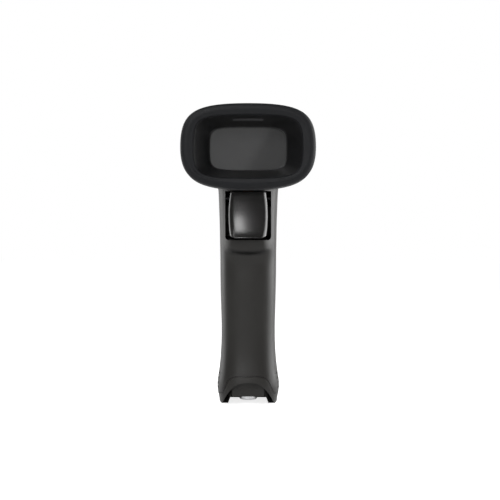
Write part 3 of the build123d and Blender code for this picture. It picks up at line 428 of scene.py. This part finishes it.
# ------------------------------------------------------------------------------------------
# Window. A flat pane of smoked, hard-coated plastic that drops into the frame from behind, on
# a soft black gasket.
# ------------------------------------------------------------------------------------------
PANE_GREY = (0.052, 0.052, 0.0525)
PANE_IOR = 1.5
SEAL_BLACK = (0.012, 0.012, 0.012)

smoked_pane = moulded("smoked_pane", PANE_GREY, 0.05, mottle=0.05, spread=0.02, grains=300.0,
                      depth=0.002, IOR=PANE_IOR)
dress(smoked_pane, "window")
seal_rubber = moulded("seal_rubber", SEAL_BLACK, 0.75, grains=1800.0)
dress(seal_rubber, "window_gasket", "cap_seal")

# ------------------------------------------------------------------------------------------
# Trigger. A hollow, semi-gloss black lever on a steel pin, crowned across its front where the
# finger pulls, and rounded over at every edge as a polished moulding is.
# ------------------------------------------------------------------------------------------
TRIGGER_BLACK = (0.0125, 0.0120, 0.0115)
BLACK_STEEL, BRIGHT_STEEL = (0.035, 0.035, 0.037), (0.55, 0.55, 0.56)
TRIGGER_WELD = 0.002 * MM
TRIGGER_MESH = 0.30 * MM
TRIGGER_EASE, TRIGGER_EASINGS = 0.5, 30     # how far a point goes to its neighbours' mean
TRIGGER_CROWN = 0.95 * MM       # the sides of its front stand this far behind the middle
CROWN_FROM_Y, CROWN_FULL_Y = -17 * MM, -23 * MM

trigger_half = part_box("trigger")[1].x
rough_trigger = bpy.data.objects.new("trigger_copy", nodes["trigger"].data.copy())
scene.collection.objects.link(rough_trigger)
weld = rough_trigger.modifiers.new("weld", "WELD")
weld.merge_threshold = TRIGGER_WELD
even = rough_trigger.modifiers.new("even", "REMESH")
even.mode, even.voxel_size = "VOXEL", TRIGGER_MESH
ease = rough_trigger.modifiers.new("ease", "SMOOTH")
ease.factor, ease.iterations = TRIGGER_EASE, TRIGGER_EASINGS
graph = bpy.context.evaluated_depsgraph_get()
trigger_mesh = bpy.data.meshes.new_from_object(rough_trigger.evaluated_get(graph))
bpy.data.objects.remove(rough_trigger)
trigger_mesh.name = "trigger_blade"


def crowned(points, half_width):
    """Front points pushed back by the crown times the square of x over the half width."""
    x, y = points[:, 0], points[:, 1]
    share = np.clip((y - CROWN_FROM_Y) / (CROWN_FULL_Y - CROWN_FROM_Y), 0, 1)
    moved = points.copy()
    moved[:, 1] = y + TRIGGER_CROWN * share * (x / half_width)**2
    return moved


points = np.empty(len(trigger_mesh.vertices) * 3, np.float32)
trigger_mesh.vertices.foreach_get("co", points)
points = crowned(points.reshape(-1, 3).astype(float), trigger_half)
trigger_mesh.vertices.foreach_set("co", points.astype(np.float32).ravel())
trigger_mesh.materials.clear()
trigger_mesh.shade_smooth()
blade = bpy.data.objects.new("trigger_blade", trigger_mesh)
scene.collection.objects.link(blade)
trigger_plastic = moulded("trigger_plastic", TRIGGER_BLACK, 0.25, spread=0.02, mottle=0.04,
                          grains=1500.0, depth=0.002)
finished(blade, "trigger_lever", "trigger_plastic", trigger_plastic, "trigger")


STREAK_HEIGHT = 0.05 * MM
ALONG_X, ALONG_Y, ALONG_Z = (80, 3000, 3000), (3000, 80, 3000), (3000, 3000, 80)    # per metre


def make_streaks():
    """Metal that was drawn, turned or brushed: streaks along the direction that Stretch
    squeezes least, in the gloss, the colour and the height."""
    group = new_group("metal_streaks",
                      {"Colour": ("Color", (0.6, 0.6, 0.6, 1)), "Stretch": ("Vector", (1, 1, 1)),
                       "Roughness": ("Float", 0.3), "Spread": ("Float", 0.12),
                       "Depth": ("Float", 0.1)},
                      {"Colour": "Color", "Roughness": "Float", "Normal": "Vector"})
    given = add(group, "NodeGroupInput").outputs
    place = add(group, "ShaderNodeTexCoord").outputs["Object"]
    squeezed = add(group, "ShaderNodeVectorMath", {0: place, 1: given["Stretch"]},
                   operation="MULTIPLY")
    streak = add(group, "ShaderNodeTexNoise", {"Vector": squeezed.outputs[0], "Scale": 1.0,
                                               "Detail": 3.0})
    swing = add(group, "ShaderNodeMath", {0: streak.outputs[0], 1: 0.5}, operation="SUBTRACT")
    light = add(group, "ShaderNodeMath", {0: swing.outputs[0], 1: 0.5, 2: 1.0},
                operation="MULTIPLY_ADD")
    colour = add(group, "ShaderNodeVectorMath", {0: given["Colour"], "Scale": light.outputs[0]},
                 operation="SCALE")
    rough = add(group, "ShaderNodeMath", {0: swing.outputs[0], 1: given["Spread"],
                                          2: given["Roughness"]}, operation="MULTIPLY_ADD")
    bump = add(group, "ShaderNodeBump", {"Strength": given["Depth"], "Distance": STREAK_HEIGHT,
                                         "Height": streak.outputs[0]})
    add(group, "NodeGroupOutput", {"Colour": colour.outputs[0], "Roughness": rough.outputs[0],
                                   "Normal": bump.outputs[0]})
    return group


metal_streaks = make_streaks()


def metal(name, colour, roughness, stretch, depth=0.2):
    """A bare or plated metal over the streaks."""
    material, tree = new_material(name)
    streaks = add(tree, "ShaderNodeGroup", node_tree=metal_streaks)
    for key, value in (("Colour", (*colour, 1)), ("Stretch", stretch), ("Roughness", roughness),
                       ("Depth", depth)):
        streaks.inputs[key].default_value = value
    surface = add(tree, "ShaderNodeBsdfPrincipled", {"Base Color": streaks.outputs["Colour"],
                                                     "Roughness": streaks.outputs["Roughness"],
                                                     "Normal": streaks.outputs["Normal"]})
    surface.inputs["Metallic"].default_value = 1.0
    add(tree, "ShaderNodeOutputMaterial", {"Surface": surface.outputs[0]})
    return material


black_steel = metal("black_steel", BLACK_STEEL, 0.42, ALONG_X)
bright_steel = metal("bright_steel", BRIGHT_STEEL, 0.30, ALONG_Z)
dress(black_steel, "trigger_pin")
dress(bright_steel, "board_screws", "cell_plate")

coil = bpy.data.objects.new("return_spring", nodes["trigger_spring"].data.copy())
scene.collection.objects.link(coil)
coil.data.materials.clear()
coil.data.shade_smooth()
finished(coil, "housing", "steel", bright_steel, "trigger_spring")
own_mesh(coil)

# ------------------------------------------------------------------------------------------
# Shell screws. Four black-zinced screws with six-lobed drives, sunk under the chin and into
# the back of the grip.
# ------------------------------------------------------------------------------------------
ZINC_BLACK = (0.060, 0.060, 0.064)

zinc_black = metal("zinc_black", ZINC_BLACK, 0.38, ALONG_Y)
dress(zinc_black, "shell_screws")

# ------------------------------------------------------------------------------------------
# Foot. The battery's cap, moulded in the shells' plastic, with an arch cut in its front and a
# recess under it where a cradle's post comes up to two gold pads. Painted shade darkens the
# recess.
# ------------------------------------------------------------------------------------------
FOOT_GREY = (0.0170, 0.0160, 0.0145)
RECESS_FROM_Y = -14.4 * MM      # behind the skirt at the front
RECESS_HALF, RECESS_TOP = 14.4 * MM, 12.7 * MM
RECESS_EDGE = 0.5 * MM
# painted shade: the colour inside the recess is this share of the plastic's own
RECESS_PAINTED_SHADE = 0.30
RECESS_GRAIN = 0.01             # in millimetres
GOLD = (0.78, 0.56, 0.22)


def make_recess_shade():
    """The hollow under the arch: painted shade, a darker tone inside a box, with soft edges."""
    group = new_group("foot_recess_shade", {}, {"PaintedShade": "Float", "Height": "Float"})
    place = add(group, "ShaderNodeTexCoord").outputs["Object"]
    at = add(group, "ShaderNodeSeparateXYZ", {0: place}).outputs
    side = add(group, "ShaderNodeMath", {0: at["X"]}, operation="ABSOLUTE").outputs[0]
    inside = 1.0
    for value, edge, way in ((at["Y"], RECESS_FROM_Y, 1), (side, RECESS_HALF, -1),
                             (at["Z"], RECESS_TOP, -1)):
        within = add(group, "ShaderNodeMapRange", {"Value": value, "From Min": edge,
                                                   "From Max": edge + way * RECESS_EDGE,
                                                   "To Min": 0.0, "To Max": 1.0})
        inside = add(group, "ShaderNodeMath", {0: inside, 1: within.outputs[0]},
                     operation="MULTIPLY").outputs[0]
    tone = add(group, "ShaderNodeMath", {0: inside, 1: RECESS_PAINTED_SHADE - 1, 2: 1.0},
               operation="MULTIPLY_ADD")
    grain = add(group, "ShaderNodeTexNoise", {"Vector": place, "Scale": SPARK_PER_METRE})
    height = add(group, "ShaderNodeMath", {0: grain.outputs[0], 1: RECESS_GRAIN},
                 operation="MULTIPLY")
    add(group, "NodeGroupOutput", {"PaintedShade": tone.outputs[0], "Height": height.outputs[0]})
    return group


foot_plastic = moulded("foot_plastic", FOOT_GREY, SHELL_ROUGHNESS, marks=make_recess_shade(),
                       **{"Specular IOR Level": SHELL_GLOSS})
dress(foot_plastic, "battery_cap")
gold_plate = metal("gold_plate", GOLD, 0.24, ALONG_X, depth=0.1)
dress(gold_plate, "charge_contacts", "battery_contacts")

# ------------------------------------------------------------------------------------------
# Coin screw. Turned from steel and plated, with a slot for a coin, in a brass insert that is
# pressed into the front shell. The lathe leaves fine rings round its axis.
# ------------------------------------------------------------------------------------------
COIN_SILVER = (0.74, 0.74, 0.75)
BRASS = (0.62, 0.44, 0.17)
RINGS_PER_METRE = 4200.0
RING_HEIGHT = 0.04 * MM

screw_low, screw_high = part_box("cap_screw")
turned_silver, tree = new_material("turned_silver")
place = add(tree, "ShaderNodeTexCoord").outputs["Object"]
centred = add(tree, "ShaderNodeMapping", {"Vector": place,
                                          "Location": (0, -(screw_low.y + screw_high.y) / 2, 0)})
flat = add(tree, "ShaderNodeVectorMath", {0: centred.outputs[0], 1: (1, 1, 0)},
           operation="MULTIPLY")
radius = add(tree, "ShaderNodeVectorMath", {0: flat.outputs[0]}, operation="LENGTH")
rings = add(tree, "ShaderNodeTexNoise", {"W": radius.outputs["Value"], "Scale": RINGS_PER_METRE,
                                         "Detail": 2.0}, noise_dimensions="1D")
tone = add(tree, "ShaderNodeMapRange", {"Value": rings.outputs[0], "To Min": 0.85, "To Max": 1.1})
colour = add(tree, "ShaderNodeVectorMath", {0: COIN_SILVER, "Scale": tone.outputs[0]},
             operation="SCALE")
rough = add(tree, "ShaderNodeMapRange", {"Value": rings.outputs[0], "To Min": 0.24,
                                         "To Max": 0.44})
bump = add(tree, "ShaderNodeBump", {"Strength": 0.25, "Distance": RING_HEIGHT,
                                    "Height": rings.outputs[0]})
surface = add(tree, "ShaderNodeBsdfPrincipled", {"Base Color": colour.outputs[0],
                                                 "Roughness": rough.outputs[0],
                                                 "Normal": bump.outputs[0]})
surface.inputs["Metallic"].default_value = 1.0
add(tree, "ShaderNodeOutputMaterial", {"Surface": surface.outputs[0]})
dress(turned_silver, "cap_screw")
turned_brass = metal("turned_brass", BRASS, 0.32, ALONG_X)
dress(turned_brass, "screw_insert")

# ------------------------------------------------------------------------------------------
# Power cell. A standard round cell in shrink-wrapped blue film, which stands on the foot's
# steel plate and slides up into the grip with it.
# ------------------------------------------------------------------------------------------
WRAP_BLUE = (0.030, 0.080, 0.200)

wrap_film = moulded("wrap_film", WRAP_BLUE, 0.30, mottle=0.10, spread=0.12,
                    grains=500.0, depth=0.10)
dress(wrap_film, "battery_cell")

# ------------------------------------------------------------------------------------------
# Boards. Green solder mask over copper tracks, with black moulded chips, a tinned shield over
# the wireless part, and amber ribbons and sleeved leads between them.
# ------------------------------------------------------------------------------------------
MASK_GREEN, TRACK_GREEN = (0.008, 0.060, 0.028, 1), (0.018, 0.110, 0.050, 1)
TRACK_SIZE = 520.0
AMBER, AMBER_TRACK = (0.42, 0.16, 0.022, 1), (0.26, 0.085, 0.012, 1)
RIBBON_TRACKS = 700.0
TRACK_HEIGHT = 0.05 * MM
TRACK_SHINE = 0.08              # how much less rough a track is
CHIP_BLACK, SLEEVE_BLACK, TIN = (0.016, 0.016, 0.017), (0.020, 0.020, 0.021), (0.62, 0.62, 0.61)


def tracked(name, texture, settings, base, track, roughness):
    """A board or film whose copper tracks show through: a texture's factor is their mask."""
    material, tree = new_material(name)
    place = add(tree, "ShaderNodeTexCoord").outputs["Object"]
    lines = add(tree, texture, {"Vector": place, **settings})
    mask = add(tree, "ShaderNodeMapRange", {"Value": lines.outputs[1], "From Min": 0.35,
                                            "From Max": 0.65})
    colour = add(tree, "ShaderNodeMix", {0: mask.outputs[0], 6: base, 7: track},
                 data_type="RGBA")
    rough = add(tree, "ShaderNodeMapRange", {"Value": mask.outputs[0], "To Min": roughness,
                                             "To Max": roughness - TRACK_SHINE})
    bump = add(tree, "ShaderNodeBump", {"Strength": 0.3, "Distance": TRACK_HEIGHT,
                                        "Height": mask.outputs[0]})
    surface = add(tree, "ShaderNodeBsdfPrincipled", {"Base Color": colour.outputs[2],
                                                     "Roughness": rough.outputs[0],
                                                     "Normal": bump.outputs[0]})
    add(tree, "ShaderNodeOutputMaterial", {"Surface": surface.outputs[0]})
    return material


solder_mask = tracked("solder_mask", "ShaderNodeTexBrick",
                      {"Scale": TRACK_SIZE, "Mortar Size": 0.06}, MASK_GREEN, TRACK_GREEN, 0.38)
dress(solder_mask, "main_board", "switch_board", "contact_board")
amber_film = tracked("amber_film", "ShaderNodeTexWave", {"Scale": RIBBON_TRACKS}, AMBER,
                     AMBER_TRACK, 0.32)
dress(amber_film, "engine_flex", "switch_flex")
chip_epoxy = moulded("chip_epoxy", CHIP_BLACK, 0.55, grains=4000.0, depth=0.2)
dress(chip_epoxy, "board_chips", "scan_engine")
tinned = metal("tinned", TIN, 0.34, ALONG_Y)
dress(tinned, "wireless_module")
lead_sleeve = moulded("lead_sleeve", SLEEVE_BLACK, 0.55, grains=900.0)
dress(lead_sleeve, "power_leads")

# ------------------------------------------------------------------------------------------
# Scan engine, switch and beeper. Black inner mouldings that hold coated glass lenses and pale
# epoxy lamps, screwed or pressed into the shells.
# ------------------------------------------------------------------------------------------
INNER_BLACK, LAMP_STRAW = (0.020, 0.020, 0.021), (0.72, 0.66, 0.42)
COATING_BLUE, GLASS_IOR = (0.55, 0.66, 0.78), 1.52

inner_black = moulded("inner_black", INNER_BLACK, 0.50)
dress(inner_black, "engine_bracket", "lens_barrel", "trigger_switch", "beeper")
lamp_epoxy = moulded("lamp_epoxy", LAMP_STRAW, 0.28, mottle=0.06, grains=900.0, depth=0.05)
dress(lamp_epoxy, "illumination_leds", "light_bar_led", "status_led", "switch_plunger")
coated_glass = moulded("coated_glass", COATING_BLUE, 0.03, mottle=0.06, spread=0.02,
                       grains=300.0, depth=0.002, IOR=GLASS_IOR, **{"Transmission Weight": 1.0})
dress(coated_glass, "lens_glass", "aimer_lens")

# ------------------------------------------------------------------------------------------
# Status lens. A light guide moulded in milky plastic and snapped into the roof of the rear
# shell, flush with it, over a lamp on the board.
# ------------------------------------------------------------------------------------------
MILKY_GREY = (0.34, 0.35, 0.345)

milky_guide = moulded("milky_guide", MILKY_GREY, 0.36, mottle=0.05, grains=1200.0,
                      depth=0.06)
dress(milky_guide, "status_lens")

# ------------------------------------------------------------------------------------------
# Floor, lamps and camera. The scanner stands on a white sweep, with a soft lamp above its left,
# a broad one at its right, a card before the window, and a white wall behind.
# ------------------------------------------------------------------------------------------
FLOOR_HALF = 8.0
FLOOR_ALBEDO = 0.60
FLOOR_LIFT = 0.80
FLOOR_MIRRORED = 0.30           # share of the lift that gloss shows
FRONT_GLOW, REAR_GLOW, SOFT_GLOW = 0.15, 1.0, 0.35     # before, behind, and for matte surfaces
WALL_FROM, WALL_FULL = 0.75, 0.97                      # where the white wall behind begins
CAMERA_AT, CAMERA_LENS, CAMERA_SENSOR = (1.0 * MM, -600 * MM, 85.2 * MM), 76.3, 36.0

floor_mesh = bpy.data.meshes.new("floor")
floor_mesh.from_pydata([(-FLOOR_HALF, -FLOOR_HALF, 0), (FLOOR_HALF, -FLOOR_HALF, 0),
                        (FLOOR_HALF, FLOOR_HALF, 0), (-FLOOR_HALF, FLOOR_HALF, 0)],
                       [], [(0, 1, 2, 3)])
floor = bpy.data.objects.new("floor", floor_mesh)
scene.collection.objects.link(floor)
sweep, tree = new_material("white_sweep")
rays = add(tree, "ShaderNodeLightPath").outputs
mirrored = add(tree, "ShaderNodeMath", {0: rays["Is Glossy Ray"], 1: FLOOR_MIRRORED},
               operation="MULTIPLY")
seen = add(tree, "ShaderNodeMath", {0: rays["Is Camera Ray"], 1: mirrored.outputs[0]})
shown = add(tree, "ShaderNodeMath", {0: seen.outputs[0], 1: rays["Is Transmission Ray"]})
lift = add(tree, "ShaderNodeMath", {0: shown.outputs[0], 1: FLOOR_LIFT}, operation="MULTIPLY")
paint = add(tree, "ShaderNodeBsdfDiffuse", {"Color": (FLOOR_ALBEDO,) * 3 + (1,)})
shine = add(tree, "ShaderNodeEmission", {"Strength": lift.outputs[0]})
whole = add(tree, "ShaderNodeAddShader", {0: paint.outputs[0], 1: shine.outputs[0]})
add(tree, "ShaderNodeOutputMaterial", {"Surface": whole.outputs[0]})
floor_mesh.materials.append(sweep)

studio = bpy.data.worlds.new("studio")
scene.world = studio
studio.use_nodes = True
tree = studio.node_tree
tree.nodes.clear()
way = add(tree, "ShaderNodeTexCoord").outputs["Generated"]
along = add(tree, "ShaderNodeSeparateXYZ", {0: way})
wall = add(tree, "ShaderNodeMapRange", {"Value": along.outputs["Y"], "From Min": WALL_FROM,
                                        "From Max": WALL_FULL, "To Min": FRONT_GLOW,
                                        "To Max": REAR_GLOW})
rays = add(tree, "ShaderNodeLightPath").outputs
soft = add(tree, "ShaderNodeMix", {"Factor": rays["Is Diffuse Ray"], "A": wall.outputs[0],
                                   "B": SOFT_GLOW})
shown = add(tree, "ShaderNodeMix", {"Factor": rays["Is Camera Ray"], "A": soft.outputs[0],
                                    "B": 1.0})
glow = add(tree, "ShaderNodeBackground", {"Color": (1, 1, 1, 1), "Strength": shown.outputs[0]})
add(tree, "ShaderNodeOutputWorld", {"Surface": glow.outputs[0]})


def softbox(name, place, target, size, radiance, roll=0.0):
    """A lamp of that size at place, facing target. Its power is pi times area times radiance."""
    data = bpy.data.lights.new(name, "AREA")
    data.shape = "RECTANGLE"
    data.size, data.size_y = size
    data.energy = math.pi * size[0] * size[1] * radiance
    lamp = bpy.data.objects.new(name, data)
    lamp.location = place
    lamp.visible_camera = False
    x, y, z = (b - a for a, b in zip(place, target))
    lamp.rotation_euler = (math.atan2(math.hypot(x, y), -z), 0, math.atan2(-x, y))
    lamp.rotation_euler.rotate_axis("Z", roll)
    scene.collection.objects.link(lamp)


GRIP_MIDDLE = (0, 0, 80 * MM)
softbox("front_left", (-0.15, -0.76, 0.52), GRIP_MIDDLE, (0.13, 0.50), 16.0)
softbox("above_left", (-0.45, -0.50, 0.90), GRIP_MIDDLE, (0.60, 0.50), 4.6)
softbox("right_wall", (0.67, 0.16, 0.16), GRIP_MIDDLE, (0.80, 0.90), 5.0)
softbox("rear_left", (-0.56, 0.40, 0.16), GRIP_MIDDLE, (0.45, 0.90), 2.6)
softbox("window_card", (-0.50, -2.0, 0.62), (-0.50, 0, 0.62), (1.2, 1.2), 0.46,
        roll=math.radians(-29))

scene.view_settings.view_transform = "Standard"
lens = bpy.data.cameras.new("camera")
lens.lens, lens.sensor_width, lens.clip_start = CAMERA_LENS, CAMERA_SENSOR, 0.01
camera = bpy.data.objects.new("camera", lens)
camera.location = CAMERA_AT
camera.rotation_euler = (math.pi / 2, 0, 0)
scene.collection.objects.link(camera)
scene.camera = camera
